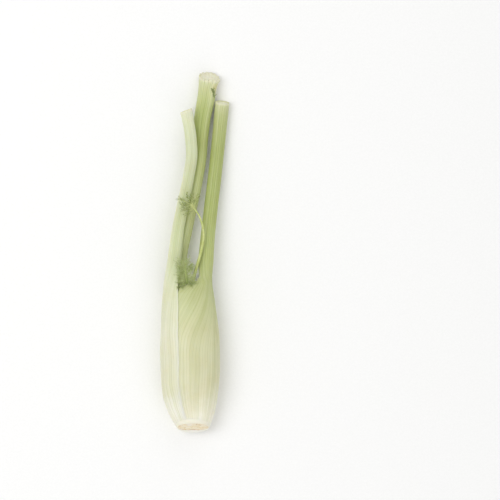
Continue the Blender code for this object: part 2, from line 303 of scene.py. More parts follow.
def fleshMaterial(name, alongStops, grooveDepth, bandDepth, look=fleshLook):
    material, tree, shader = newMaterial(name, look["shader"])
    coordinates = addNode(tree, "TexCoord")
    place, onLeaf = coordinates.outputs["Object"], coordinates.outputs["UV"]
    onStreaks = addNode(tree, "Mapping", inputs={"Vector": onLeaf, "Scale": look["streaks"]})
    streak = addNode(tree, "TexNoise", inputs={
        "Vector": onStreaks, "Scale": 1.0, "Detail": 3.0, "Roughness": 0.6})
    onBands = addNode(tree, "Mapping", inputs={"Vector": onLeaf, "Scale": look["bands"]})
    band = addNode(tree, "TexNoise", inputs={"Vector": onBands, "Scale": 1.0, "Detail": 1.5})
    blotch = addNode(tree, "TexNoise", inputs={
        "Vector": place, "Scale": 1.0 / look["blotchSize"], "Detail": 4.0, "Roughness": 0.6})
    scuff = addNode(tree, "TexNoise", inputs={
        "Vector": place, "Scale": look["scuffsPerMetre"], "Detail": 6.0, "Roughness": 0.7,
        "Distortion": 0.4})
    # the colour goes by the place along the bulb, which the streaks and blotches shift a little
    strayed = addNode(tree, "Math", {"operation": "MULTIPLY_ADD"}, {
        0: streak, 1: look["strays"], 2: -look["strays"] / 2})
    strayedMore = addNode(tree, "Math", {"operation": "MULTIPLY_ADD"}, {
        0: blotch, 1: look["strays"], 2: strayed})
    axes = addNode(tree, "SeparateXYZ", inputs={0: place})
    along = addNode(tree, "MapRange", inputs={
        "Value": axes.outputs["Y"], "From Min": cadLow.y, "From Max": cadHigh.y,
        "To Min": -look["strays"] / 2, "To Max": 1.0 - look["strays"] / 2})
    alongWith = addNode(tree, "Math", {"operation": "ADD"}, {0: along, 1: strayedMore})
    colour = addNode(tree, "ValToRGB", inputs={0: alongWith},
                     stops=[(mm / bulbLength, code) for mm, code in alongStops])
    crest, margin, dry = (
        addNode(tree, "Attribute", {"attribute_name": title}).outputs["Fac"]
        for title in ("crest", "margin", "dry"))
    tinted = layered(tree, colour, (
        (crest, 0.55, 0.0, grooveDepth, staining, look["grooveTint"]),
        (crest, 0.6, 1.0, look["crestGain"], mixing, look["crestTint"]),
        (band, 0.40, 0.66, bandDepth, staining, look["bandTint"]),
        (streak, 0.42, 0.72, 0.20, staining, look["streakTint"]),
        (blotch, 0.45, 0.75, 0.28, staining, look["warmTint"]),
        # the margin share paints pale margins, the tall stalk's yellowed skin under its lip, and painted
        # light on the left-facing side of the outer leaf's stalk
        (margin, 0.0, 2.0, 1.1, mixing, look["marginTint"]),
        (scuff, 0.62, 0.76, 0.45, mixing, look["scuffTint"]),
        (dry, 0.0, 1.0, 1.0, mixing, look["dryTint"])))
    rough = addNode(tree, "MapRange", inputs={
        "Value": streak, "From Min": 0.3, "From Max": 0.7,
        "To Min": look["roughness"][0], "To Max": look["roughness"][1]})
    dryRough = addNode(tree, "Mix", {"data_type": "FLOAT"}, {0: dry, 2: rough, 3: look["dryRoughness"]})
    cells = addNode(tree, "TexNoise", inputs={
        "Vector": place, "Scale": 1.0 / look["cellSize"], "Detail": 2.0})
    cellBump = addNode(tree, "Bump", inputs={"Strength": 0.6, "Distance": look["cellBump"], "Height": cells})
    fibreBump = addNode(tree, "Bump", inputs={
        "Strength": 0.8, "Distance": look["fibreBump"], "Height": streak, "Normal": cellBump})
    setInputs(tree, shader, {"Base Color": tinted, "Roughness": dryRough, "Normal": fibreBump})
    return material


# The knife's cut across a leaf stalk: wet pale pith with a dotted ring of fibre bundles, drying at its rim.
pithLook = {
    "shader": {"Subsurface Weight": 0.2, "Subsurface Radius": (1.0, 0.8, 0.4), "Subsurface Scale": 0.0015},
    "patchesPerMetre": 430.0,  # dried patches about 2.3 mm across
    "grainsPerMetre": 1600.0,  # and grain of about 0.6 mm
    "grainBump": 0.00008,
    "patchTint": "#bfa06c",
    "grainTint": "#dccb9c",
}


def pithMaterial(name, stops, dried, bundleTint, look=pithLook):
    material, tree, shader = newMaterial(name, look["shader"])
    place = addNode(tree, "TexCoord").outputs["Object"]
    radius = addNode(tree, "Attribute", {"attribute_name": "cutRadius"})
    bundle = addNode(tree, "Attribute", {"attribute_name": "bundle"})
    colour = addNode(tree, "ValToRGB", inputs={0: radius.outputs["Fac"]}, stops=stops)
    patch = addNode(tree, "TexNoise", inputs={
        "Vector": place, "Scale": look["patchesPerMetre"], "Detail": 4.0, "Roughness": 0.65,
        "Distortion": 0.5})
    grain = addNode(tree, "TexNoise", inputs={
        "Vector": place, "Scale": look["grainsPerMetre"], "Detail": 4.0, "Roughness": 0.65})
    tinted = layered(tree, colour, (
        (patch, 0.50, 0.66, dried, mixing, look["patchTint"]),
        (grain, 0.4, 0.75, 0.45, staining, look["grainTint"]),
        (bundle.outputs["Fac"], 0.0, 1.0, 1.0, mixing, bundleTint)))
    bump = addNode(tree, "Bump", inputs={"Strength": 0.9, "Distance": look["grainBump"], "Height": grain})
    rough = addNode(tree, "MapRange", inputs={"Value": grain, "To Min": 0.5, "To Max": 0.8})
    setInputs(tree, shader, {"Base Color": tinted, "Roughness": rough, "Normal": bump})
    return material


freshPith = pithMaterial("wetCutFennelPith", (
    (0.0, "#f3f1de"), (0.55, "#eff0da"), (0.78, "#e6e8c6"), (0.92, "#dcdeb2"), (1.0, "#dcd9b0")),
    dried=0.10, bundleTint="#c3c68a")
dryingPith = pithMaterial("dryingCutFennelPith", (
    (0.0, "#eeeeda"), (0.50, "#ebebd2"), (0.76, "#e7e8ce"), (0.92, "#e5e5cb"), (1.0, "#e3e2ca")),
    dried=0.22, bundleTint="#d3c9a2")

leftFlesh = fleshMaterial("outerSheathFlesh", (
    (0, "#fbf6e6"), (11, "#f9f6e8"), (18, "#f1f0de"), (25, "#e7e6cb"), (36, "#e6e5cb"), (56, "#e9e8d1"),
    (72, "#e6e7cd"), (84, "#dfe2c1"), (96, "#dae0ba"), (115, "#d6ddb4"), (136, "#d0d7aa"), (160, "#d8ddbb"),
    (178, "#e0e5c5"), (188, "#e8ebcf"), (194, "#ebedd6")), grooveDepth=0.34, bandDepth=0.22)
# From 30 to 82 mm the second sheath is darker and greener, partly its own tone and partly painted shade, as
# cast by a neighbour lying at its right.
rightFlesh = fleshMaterial("secondSheathFlesh", (
    (0, "#fbf6e6"), (10, "#f9f5e4"), (16, "#f1eed9"), (22, "#e8e6cb"), (30, "#dfddbc"), (38, "#dad9b5"),
    (52, "#d9d9b3"), (62, "#d4d5aa"), (72, "#ced2a2"), (82, "#c7cd99"), (92, "#c0c88d"), (110, "#bcc683"),
    (140, "#b6c17b"), (170, "#b4be79"), (190, "#c3ca90"), (199, "#dcdcb4")), grooveDepth=0.30, bandDepth=0.20)
# Painted light: from 86 to 146 mm the tall stalk is painted paler than its own green, offsetting the shade
# that the short stalk and the sheath's mouth cast there.
tallFlesh = fleshMaterial("tallStalkFlesh", (
    (0, "#e6e6c8"), (60, "#dfe2bc"), (86, "#d9deb0"), (97, "#d5dbaa"), (108, "#d3d9a6"), (126, "#d1d7a3"),
    (146, "#cdd49d"), (160, "#c3cb8b"), (175, "#b4be78"), (185, "#bbc580"), (195, "#c4cd8d"),
    (203, "#d6dca8"), (209, "#e0e2b9"), (213, "#e5e5c6"), (216, "#e8e5cd")),
    grooveDepth=0.38, bandDepth=0.45, look={**fleshLook, "marginTint": "#e0d494"})
print("materials for flesh and pith are ready")


# the three leaves

ribs = {
    "perFace": 11,  # main ribs across a leaf's outer face, as in the CAD
    "height": 0.00030,
    "onSheath": 0.20,  # how much of that height is left on the bulb
    "second": 0.000050,  # two finer ribs between the main ones on the sheath, one on the stalk
    "fine": 0.000042,  # and as many again
    "onStalk": 0.00009,  # height of the finer ribs there
    "fadeIn": (0.0048, 0.0135),  # from the stem on
    "crestOnSheath": (0.18, 0.37, 0.45),  # what main, second and fine ribs add to the pale crests
    "crestOnStalk": (0.30, 0.50, 0.20),
    "pointsPerRib": 24,
    "innerPoints": 28,
    "faceArc": 216.0,  # degrees of a stalk's outer face
    "backArc": 116.0,  # and of its flatter inner face
    "hollow": 0.00055,  # how deep the inner face is hollowed
    "hollowFrom": (0.110, 0.125),
}
layers = {
    "low": 0.0030, "full": 0.0042,  # a sheath's thickness at the stem and on the bulb
    "thickens": (0.007, 0.035),
    "edge": 0.00009,  # a membrane-thin margin
    "gap": 0.00003,
    "besideOver": 24.0,  # degrees in which the leaf beneath rises beside the margin
    "paleOver": 2.5,  # degrees of pale margin
    "heartInset": 0.0052,
    "lift": 0.00002,  # margins stand off a little
    "liftOver": 3.5,  # degrees
    "liftFrom": (0.012, 0.030),
    "waves": ((0.7, 0.0052, 1.0), (0.25, 0.0017, 2.0)),  # margins wave: degrees, length, seeds
    "wavesFrom": (0.012, 0.025),
}
mouth = {"from": (0.0850, 0.0870), "to": (0.0925, 0.0945), "tears": ((1.0, 0.00042), (0.7, 0.00019))}
paintedSideLight = {"faces": 195.0, "from": (0.065, 0.095), "to": (0.150, 0.175)}  # painted light: the stalk's side that faces left is painted paler, from 65 to 175 mm
plainCut = {"cutBack": 0.0, "shoulder": 0.0, "bundles": 16.0, "bundleWidth": 0.05, "dries": (0.0022, 0.0002)}
leftLeaf = {
    "lowSpan": (112.0, 300.0), "highSpan": (114.0, 196.0),
    "startDrawsIn": (0.060, 0.095), "endDrawsIn": (0.056, 0.095), "veinsDrawIn": (0.056, 0.095),
    "narrows": (0.083, 0.107), "torn": 0.0, "paintedSideLightGain": 1.3,
    "stalkFaces": 125.0, "reach": 0.1935, "seed": 21,
    "cutSlope": (0.40, -0.12), "scallop": 0.0002, **plainCut,
    "midrib": 0.42, "gather": 0.7, "gathersAt": (0.045, 0.085), "ribStrength": 0.30,
    "stalk": (
        (0.088, -0.0134, 0.0166, 0.0048, 0.0032), (0.105, -0.0111, 0.0166, 0.0041, 0.0029),
        (0.121, -0.0091, 0.0157, 0.0038, 0.0028), (0.137, -0.0061, 0.0146, 0.0036, 0.0027),
        (0.153, -0.0028, 0.0139, 0.0035, 0.0027), (0.166, -0.0008, 0.0136, 0.0035, 0.0027),
        (0.178, -0.0014, 0.0137, 0.0035, 0.0027), (0.195, -0.0044, 0.0142, 0.0035, 0.0028)),
}
rightLeaf = {
    "lowSpan": (-75.0, 127.0), "highSpan": (-42.0, 56.0),
    "startDrawsIn": (0.056, 0.093), "endDrawsIn": (0.0860, 0.0942), "veinsDrawIn": (0.056, 0.101),
    "narrows": (0.083, 0.104), "torn": 3.0, "paintedSideLightGain": 0.0,
    "stalkFaces": 30.0, "reach": 0.1990, "seed": 22,
    "cutSlope": (-0.12, -0.25), "scallop": 0.0003, **plainCut,
    "midrib": 0.52, "gather": 1.5, "gathersAt": (0.046, 0.096), "ribStrength": 0.50,
    "stalk": (
        (0.082, 0.0064, 0.0134, 0.0058, 0.0042), (0.098, 0.0074, 0.0122, 0.0047, 0.0038),
        (0.114, 0.0084, 0.0106, 0.0044, 0.0036), (0.132, 0.0102, 0.0086, 0.0043, 0.0036),
        (0.152, 0.0126, 0.0066, 0.0042, 0.0036), (0.176, 0.0152, 0.0048, 0.0042, 0.0037),
        (0.200, 0.0175, 0.0038, 0.0044, 0.0040)),
}
tallStalk = {
    "narrows": (0.060, 0.101), "reach": 0.2148, "seed": 23,
    "cutSlope": (-0.08, -0.52), "cutBack": 0.0002, "scallop": 0.0014, "bundleWidth": 0.22,
    "shoulder": 0.0010,  # how far the cut drops at the right
    "lobe": 0.0008,  # and how far the dry lip under it turns out
    "lipBand": (0.0014, 0.0019),  # how far below the cut, and how wide
    "underLipBand": (0.0070, 0.0030),  # the yellowed skin under the lip
    "ribsRound": 14, "pointsPerRib": 20, "ribStrength": 0.30,
    "twin": 0.00007, "fine": 0.00003,  # heights of the finer ribs
    "creases": (0.0050, 0.0010), "dries": (0.0034, 0.0004),  # from here on, and fully from here
    "crease": 0.00050, "wrinkle": 0.00010,
    "rounding": 0.0012, "rounds": (0.0053, 0.0093),  # the heart's lower end
    "stalk": (
        (0.088, -0.0088, 0.0096, 0.0055, 0.0042), (0.105, -0.0087, 0.0088, 0.0050, 0.0040),
        (0.120, -0.0057, 0.0083, 0.0050, 0.0040), (0.134, -0.0028, 0.0075, 0.0050, 0.0040),
        (0.148, 0.0002, 0.0069, 0.0050, 0.0041), (0.163, 0.0028, 0.0063, 0.0050, 0.0042),
        (0.178, 0.0042, 0.0057, 0.0050, 0.0043), (0.190, 0.0057, 0.0053, 0.0051, 0.0044),
        (0.200, 0.0076, 0.0049, 0.0054, 0.0046), (0.208, 0.0087, 0.0048, 0.0055, 0.0047),
        (0.212, 0.0092, 0.0050, 0.0059, 0.0050), (0.217, 0.0096, 0.0053, 0.0062, 0.0053)),
}
cutEnd = {
    # rows that run from the rim of a cut stalk in to its middle: share of radius, depth below the rim
    "rows": ((0.985, 0.00002), (0.955, 0.00008), (0.92, 0.00028), (0.88, 0.00040), (0.84, 0.00040),
             (0.80, 0.00042), (0.74, 0.00055), (0.64, 0.00068), (0.50, 0.00080), (0.35, 0.00088),
             (0.18, 0.00092), (0.0, 0.00094)),
    "ragged": 0.00022,
    "raggedWaves": (3, 5, 8, 13, 21, 34),
    "raggedOver": 0.0020,
    "slantOver": 0.010,  # the last stretch, over which the rings tilt to the slant of the cut
    "pithWaves": 0.00012,
    "bundleRadius": 0.84,
}


def spanAt(leaf, y):  # the angles of a sheath's two margins
    wave = sum(size * np.sin(y / length + seeds * leaf["seed"]) for size, length, seeds in layers["waves"])
    wave = wave * smoothStep(*layers["wavesFrom"], y)
    start = between(leaf["lowSpan"][0], leaf["highSpan"][0], smoothStep(*leaf["startDrawsIn"], y)) + wave
    end = between(leaf["lowSpan"][1], leaf["highSpan"][1], smoothStep(*leaf["endDrawsIn"], y)) - 0.8 * wave
    return start, end


def tornLip(leaf, y):  # the ragged lip of the mouth that the young leaves come out of, in degrees
    onMouth = smoothStep(*mouth["from"], y) * (1.0 - smoothStep(*mouth["to"], y))
    return leaf["torn"] * onMouth * sum(size * np.sin(y / length) for size, length in mouth["tears"])


def sheathThickness(y, share):
    full = between(layers["low"], layers["full"], smoothStep(*layers["thickens"], y))
    swelling = np.sin(np.pi * np.clip(share, 0.0, 1.0)) ** 0.7
    return layers["edge"] + (full - layers["edge"]) * swelling


def insetUnderLeft(leaf, y, degrees):  # the right leaf sinks by the thickness of the left one over it
    if leaf is leftLeaf:
        return np.zeros_like(degrees)
    front, back = spanAt(leftLeaf, y)
    turned = np.where(degrees > 0.0, degrees, degrees + 360.0)
    covered = sheathThickness(y, (turned - front) / (back - front)) + layers["gap"]
    away = np.minimum(np.abs(degrees - front), np.abs(degrees + 360.0 - back))
    beside = (layers["edge"] + layers["gap"]) * np.exp(-((away / layers["besideOver"]) ** 2))
    return np.where((front <= turned) & (turned <= back), covered, beside)


def marginLift(y, fromMargin, narrowed):
    near = np.exp(-((fromMargin / layers["liftOver"]) ** 2))
    return layers["lift"] * near * smoothStep(*layers["liftFrom"], y) * (1 - narrowed)


def ribShape(count):  # 0 in a narrow groove, 1 on a round crest
    return np.abs(np.sin(np.pi * count)) ** 0.8


def ribSizes(seed, count, y):  # each rib's own strength, changing slowly along the leaf
    draw = np.random.RandomState(seed)
    strong = draw.uniform(0.55, 1.1, 40)
    phase = draw.uniform(0, math.tau, 40)
    length = draw.uniform(0.03, 0.09, 40)
    which = np.clip(np.floor(count).astype(int), 0, 39)
    return strong[which] * (1.0 + 0.15 * np.sin(math.tau * y / length[which] + phase[which]))


def stalkCrest(main, twin, fine, size):  # how pale each place is, from its ribs
    mainShare, twinShare, fineShare = ribs["crestOnStalk"]
    return mainShare * main * size + twinShare * twin * size + fineShare * fine


def spacedRows(*parts):  # (from, to, how many) for each stretch
    rows = [np.linspace(low, high, count, endpoint=False) for low, high, count in parts]
    return np.concatenate([*rows, [parts[-1][1]]])


def slantAt(ring, centre, leaf, widest):  # how far along the slanting cut lies, over a ring
    across, height = ring[..., 0] - centre[0], ring[..., 1] - centre[1]
    slant = leaf["cutSlope"][0] * across + leaf["cutSlope"][1] * height
    return slant - leaf["shoulder"] * smoothStep(0.35, 1.0, across / widest) - leaf["cutBack"]


def closedCutEnd(rings, y, attributes, leaf, lobes):
    # the rim is ragged, and the cut pith sinks towards the middle
    draw = np.random.RandomState(leaf["seed"] + 50)
    columns = rings.shape[1]
    reach = leaf["reach"]
    centre = rowAt(leaf["stalk"], np.array([reach]))[0, :2]
    rim = rings[-1]
    turn = np.linspace(0.0, math.tau, columns)
    wavy = sum(draw.uniform(0.3, 1.0) * np.sin(k * turn + draw.uniform(0, math.tau))
               for k in cutEnd["raggedWaves"])
    upper = smoothStep(-0.3, 0.7, (rim[:, 1] - centre[1]) / np.max(rim[:, 1] - centre[1]))
    ragged = -cutEnd["ragged"] * (0.5 + 0.5 * wavy / 3.0).clip(0.0, 1.0) * between(0.3, 1.0, upper)
    scallop = leaf["scallop"] * (1.0 - lobes ** 1.2) * between(0.25, 1.0, upper)
    widest = np.max(rim[:, 0] - centre[0])
    share = smoothStep(reach - cutEnd["slantOver"], reach, y)[:, None]
    near = smoothStep(reach - cutEnd["raggedOver"], reach, y)[:, None]
    slanted = slantAt(rings, centre, leaf, widest) * share + (ragged - scallop)[None, :] * near
    body = placed(rings, y[:, None], slanted)
    radii, depths = np.array(cutEnd["rows"]).T[:, :, None]
    capRings = centre + (rim - centre) * radii[..., None]
    pith = cutEnd["pithWaves"] * np.sin(7 * turn + 9 * radii) * radii * (1 - radii) * 4
    sunk = slantAt(capRings, centre, leaf, widest) - depths + pith
    cap = placed(capRings, np.full(radii.shape, reach), sunk + ragged * radii**6 - scallop * radii**2)
    dots = (1.0 - lobes)[None, :] ** 2
    bundle = dots * np.exp(-(((radii - cutEnd["bundleRadius"]) / leaf["bundleWidth"]) ** 2))
    values = {
        "cutRadius": np.concatenate([np.ones((len(y), columns)), np.broadcast_to(radii, bundle.shape)]),
        "bundle": np.concatenate([np.zeros((len(y), columns)), bundle]),
        "cutFace": np.concatenate([np.zeros(len(y)), np.ones(len(radii))])[:, None],
    }
    for title, value in attributes.items():
        value = np.broadcast_to(value, (len(y), columns))
        values[title] = np.concatenate([value, np.repeat(value[-1:], len(radii), axis=0)])
    return np.concatenate([body, cap]), values


def nearCut(leaf, y, starts, full):  # from 0 to 1 towards the cut
    return smoothStep(leaf["reach"] - starts, leaf["reach"] - full, y)


def bandBelowCut(leaf, y, distance, width):  # 1 in the middle of a band round the stalk
    return np.exp(-(((y - leaf["reach"] + distance) / width) ** 2))


def paintCutFaces(piece):  # the second material goes to the faces of the knife cut
    marks = piece.data.attributes["cutFace"].data
    for polygon in piece.data.polygons:
        if min(marks[k].value for k in polygon.vertices) > 0.5:
            polygon.material_index = 1


def sheathingLeaf(name, leaf):
    reach, midrib = leaf["reach"], leaf["midrib"]
    y = spacedRows((0.0048, 0.0125, 17), (0.0125, 0.079, 86), (0.079, 0.097, 82), (0.097, reach - 0.012, 96),
                   (reach - 0.012, reach - 0.002, 14), (reach - 0.002, reach, 8))
    column = y[:, None]
    start, end = spanAt(leaf, column)
    narrowed = smoothStep(*leaf["narrows"], column)
    row = rowAt(leaf["stalk"], column)
    ribCount = ribs["perFace"]
    across = np.linspace(0.0, 1.0, ribCount * ribs["pointsPerRib"] + 1)[None, :]
    # going up the sheath, the ribs leave the margins and gather towards the midrib
    power = 1.0 + leaf["gather"] * smoothStep(*leaf["gathersAt"], column) * (1.0 - narrowed)
    # and they run smoothly on to the stalk, so those beside the mouth end at its lip
    veinEnd = between(leaf["lowSpan"][1], leaf["highSpan"][1], smoothStep(*leaf["veinsDrawIn"], column))
    middle = between(start, veinEnd, midrib)
    before = across < midrib
    offset = np.abs(across - midrib) / np.where(before, midrib, 1.0 - midrib)
    gathered = 0.1 * offset + 0.9 * offset ** power
    degrees = middle + np.where(before, start - middle, end - middle) * gathered
    spread = np.where(before, 1.0, ((end - middle) / (veinEnd - middle)) ** (1.0 / power))
    count = ribCount * (midrib + (across - midrib) * spread)
    share = (degrees - start) / (end - start)
    degrees = degrees + tornLip(leaf, column) * share ** 12
    main, second, fine, twin = (ribShape(times * count) for times in (1, 3, 6, 2))
    size = ribSizes(leaf["seed"], count, column)
    strength = between(ribs["onSheath"], leaf["ribStrength"], narrowed)
    raised = ribs["height"] * (1.5 * main * size - 1.0) * strength
    finer = ribs["second"] * (second - 0.8)
    raised = raised + between(finer, ribs["onStalk"] * (twin - 0.8), narrowed)
    raised = raised + ribs["fine"] * (fine - 0.8) * (1.0 - 0.6 * narrowed)
    atMargin = np.minimum(1.0, 6 * np.minimum(share, 1 - share))
    raised = raised * atMargin * smoothStep(*ribs["fadeIn"], column)
    fromMargin = np.minimum(share, 1 - share) * (end - start)
    inset = insetUnderLeft(leaf, column, degrees) - marginLift(column, fromMargin, narrowed)
    low = bulbPoint(column, degrees, inset - raised)
    stalkDegrees = leaf["stalkFaces"] + (share - 0.5) * ribs["faceArc"]
    high = stalkPoint(row, stalkDegrees, raised)
    outerRing = between(low, high, narrowed[..., None])
    # the inner face runs back from the end margin to the start
    back = np.linspace(1.0, 0.0, ribs["innerPoints"])[None, :]
    backDegrees = between(start, end, back) + tornLip(leaf, column) * back ** 12
    backLift = marginLift(column, np.minimum(back, 1 - back) * (end - start), narrowed)
    backInset = insetUnderLeft(leaf, column, backDegrees) + sheathThickness(column, back) - backLift
    backLow = bulbPoint(column, backDegrees, backInset)
    hollow = -ribs["hollow"] * np.sin(np.pi * back) ** 2 * smoothStep(*ribs["hollowFrom"], column)
    backHigh = stalkPoint(row, leaf["stalkFaces"] + 180.0 + (0.5 - back) * ribs["backArc"], hollow)
    backRing = between(backLow, backHigh, narrowed[..., None])
    rings = np.concatenate([outerRing, backRing, outerRing[:, :1]], axis=1)
    inner = np.zeros((len(y), ribs["innerPoints"]))
    mainShare, secondShare, fineShare = ribs["crestOnSheath"]
    crestLow = mainShare * main * size + secondShare * second + fineShare * fine
    crestOn = between(crestLow, stalkCrest(main, twin, fine, size), narrowed)
    crest = np.concatenate([crestOn, inner + 0.5, crestOn[:, :1]], axis=1)
    edge = np.exp(-((fromMargin / layers["paleOver"]) ** 2)) * (1 - narrowed)
    # Painted light: on the outer leaf's stalk the side facing left is painted paler, added into the margin
    # share.
    faces = np.radians(between(degrees, stalkDegrees, narrowed) - paintedSideLight["faces"])
    paintedSideLightShare = smoothStep(*paintedSideLight["from"], column) * (1.0 - smoothStep(*paintedSideLight["to"], column))
    edge = edge + leaf["paintedSideLightGain"] * np.clip(np.cos(faces), 0.0, 1.0) ** 1.5 * paintedSideLightShare * (1.0 - edge)
    margin = np.concatenate([edge, inner, edge[:, :1]], axis=1)
    dry = nearCut(leaf, column, *leaf["dries"]) * 0.6
    # the outer face takes most of the UV, and the inner face the rest
    outside, inside = 0.9 * count / ribCount, inner + 0.91 + 0.08 * (1.0 - back)
    fibres = np.concatenate([outside, inside, np.ones_like(column)], axis=1)
    marks = {"crest": crest, "margin": margin, "dry": dry, "fibres": fibres}
    lobes = ribShape(np.linspace(0.0, leaf["bundles"], rings.shape[1]))
    return rolledSheet(name, *closedCutEnd(rings, y, marks, leaf, lobes))


for name, leaf, node, flesh in (("outerSheathLeaf", leftLeaf, "leaf_left", leftFlesh),
                                ("secondSheathLeaf", rightLeaf, "leaf_right", rightFlesh)):
    sheath = sheathingLeaf(name, leaf)
    finished(sheath, node, "fennel_flesh", flesh, freshPith)
    paintCutFaces(sheath)


def middleLeaf(name, leaf):
    reach = leaf["reach"]
    y = spacedRows((0.0048, 0.0125, 8), (0.0125, 0.060, 24), (0.060, 0.110, 80), (0.110, 0.2035, 150),
                   (0.2035, reach - 0.001, 50), (reach - 0.001, reach, 6))
    column = y[:, None]
    narrowed = smoothStep(*leaf["narrows"], column)
    row = rowAt(leaf["stalk"], column)
    count = np.linspace(0.0, leaf["ribsRound"], leaf["ribsRound"] * leaf["pointsPerRib"] + 1)[None, :]
    degrees = 360.0 * count / leaf["ribsRound"] - 90.0  # the seam runs along the underside
    toRight = np.cos(np.radians(degrees))
    main, twin, fine = (ribShape(times * count) for times in (1, 2, 4))
    size = ribSizes(leaf["seed"], count, column)
    creased = nearCut(leaf, column, *leaf["creases"])
    wrinkle = np.abs(np.sin(np.pi * 2.5 * count + 0.7 * np.sin(count * 2.1))) ** 0.6
    raised = ribs["height"] * (1.5 * main * size - 1.0) * leaf["ribStrength"]
    raised = raised + leaf["twin"] * (twin - 0.8) + leaf["fine"] * (fine - 0.7)
    raised = raised - creased * (leaf["crease"] * (1.0 - main ** 0.6) + leaf["wrinkle"] * (1.0 - wrinkle))
    rounding = leaf["rounding"] * (1.0 - smoothStep(*leaf["rounds"], column))
    low = bulbPoint(column, degrees, layers["heartInset"] + rounding)
    high = stalkPoint(row, degrees, raised * narrowed)
    rings = between(low, high, narrowed[..., None])
    lip = bandBelowCut(leaf, column, *leaf["lipBand"]) * smoothStep(0.1, 1.0, toRight)
    rings[..., 0] = rings[..., 0] + leaf["lobe"] * lip
    rings[:, -1] = rings[:, 0]
    crest = stalkCrest(main, twin, fine, size) * between(1.0, 0.5 + 0.5 * wrinkle, creased)
    dry = nearCut(leaf, column, *leaf["dries"]) * (0.40 + 0.35 * wrinkle)
    underLip = bandBelowCut(leaf, column, *leaf["underLipBand"]) * smoothStep(0.2, 0.9, toRight)
    marks = {"crest": crest, "margin": underLip, "dry": dry}
    lobes = 1.0 - (1.0 - main[0]) * (0.75 + 0.25 * np.sin(np.radians(3.0 * degrees[0]) + 1.0))
    return rolledSheet(name, *closedCutEnd(rings, y, marks, leaf, lobes))


leafMiddle = middleLeaf("tallStalkLeaf", tallStalk)
finished(leafMiddle, "leaf_middle", "fennel_flesh", tallFlesh, dryingPith)
paintCutFaces(leafMiddle)


# the cut stem

# The stem's knife cut: firm pale flesh that has dried to a peach-tan scar, with brown flecks where its
# fibres were cut, a thin brown line at the lower edge and a clean ivory rim.
stemLook = {
    "shader": {"Subsurface Weight": 0.2, "Subsurface Radius": (1.0, 0.8, 0.45), "Subsurface Scale": 0.0018},
    "rimTint": "#fdfaf1",
    # painted shade: the rim's top is a duller cream than its near-white bottom, to match the shaded foot of
    # the leaves above it
    "upperRimPaintedShade": "#f4f0da",
    "lineTint": "#b98350",
    "paleScar": "#f9f1de",
    "scarTint": "#f3e6c6",
    "warmScar": "#ecd6a6",
    "fleckTint": "#a07c4c",
    "patchSize": 0.0042,
    "grain": 0.0008,
    "grainBump": 0.00012,
    "fleckSize": 0.0013,
}


def stemMaterial(name, look=stemLook):
    material, tree, shader = newMaterial(name, look["shader"])
    place = addNode(tree, "TexCoord").outputs["Object"]
    scar, lower = (
        addNode(tree, "Attribute", {"attribute_name": title}).outputs["Fac"]
        for title in ("scar", "lowerEdge"))
    grain = addNode(tree, "TexNoise", inputs={
        "Vector": place, "Scale": 1.0 / look["grain"], "Detail": 5.0, "Roughness": 0.65})
    patch = addNode(tree, "TexNoise", inputs={
        "Vector": place, "Scale": 1.0 / look["patchSize"], "Detail": 4.0, "Roughness": 0.6,
        "Distortion": 0.6})
    fleck = addNode(tree, "TexNoise", inputs={
        "Vector": place, "Scale": 1.0 / look["fleckSize"], "Detail": 3.0, "Roughness": 0.55})
    tan = addNode(tree, "ValToRGB", inputs={0: patch}, stops=[
        (0.36, look["paleScar"]), (0.52, look["scarTint"]), (0.66, look["warmScar"])])
    # the grain frays the scar's edge, and its lower edge carries the brown line
    frayed = addNode(tree, "Math", {"operation": "MULTIPLY_ADD"}, {0: grain, 1: 0.5, 2: -0.25})
    scarWith = addNode(tree, "Math", {"operation": "ADD"}, {0: scar, 1: frayed})
    inScar = addNode(tree, "MapRange", inputs={"Value": scarWith, "From Min": 0.42, "From Max": 0.66})
    # painted shade: the rim is duller cream along its top, where the leaves meet it, and near white at the
    # bottom
    rimShade = addNode(tree, "Mix", mixing, {0: lower, 6: look["upperRimPaintedShade"], 7: look["rimTint"]})
    base = addNode(tree, "Mix", mixing, {0: inScar, 6: rimShade.outputs[2], 7: tan})
    line = addNode(tree, "ValToRGB", inputs={0: scarWith}, stops=[(0.40, 0.0), (0.64, 1.0), (0.88, 0.0)])
    lineShare = addNode(tree, "Math", {"operation": "MULTIPLY"}, {0: line, 1: lower})
    lined = addNode(tree, "Mix", mixing, {0: lineShare, 6: base.outputs[2], 7: look["lineTint"]})
    fleckShare = addNode(tree, "MapRange", inputs={
        "Value": fleck, "From Min": 0.60, "From Max": 0.72, "To Max": 0.7})
    fleckOn = addNode(tree, "Math", {"operation": "MULTIPLY"}, {0: fleckShare, 1: inScar})
    flecked = addNode(tree, "Mix", mixing, {0: fleckOn, 6: lined.outputs[2], 7: look["fleckTint"]})
    rough = addNode(tree, "MapRange", inputs={"Value": grain, "To Min": 0.5, "To Max": 0.85})
    bump = addNode(tree, "Bump", inputs={"Strength": 0.9, "Distance": look["grainBump"], "Height": grain})
    setInputs(tree, shader, {"Base Color": flecked.outputs[2], "Roughness": rough, "Normal": bump})
    return material


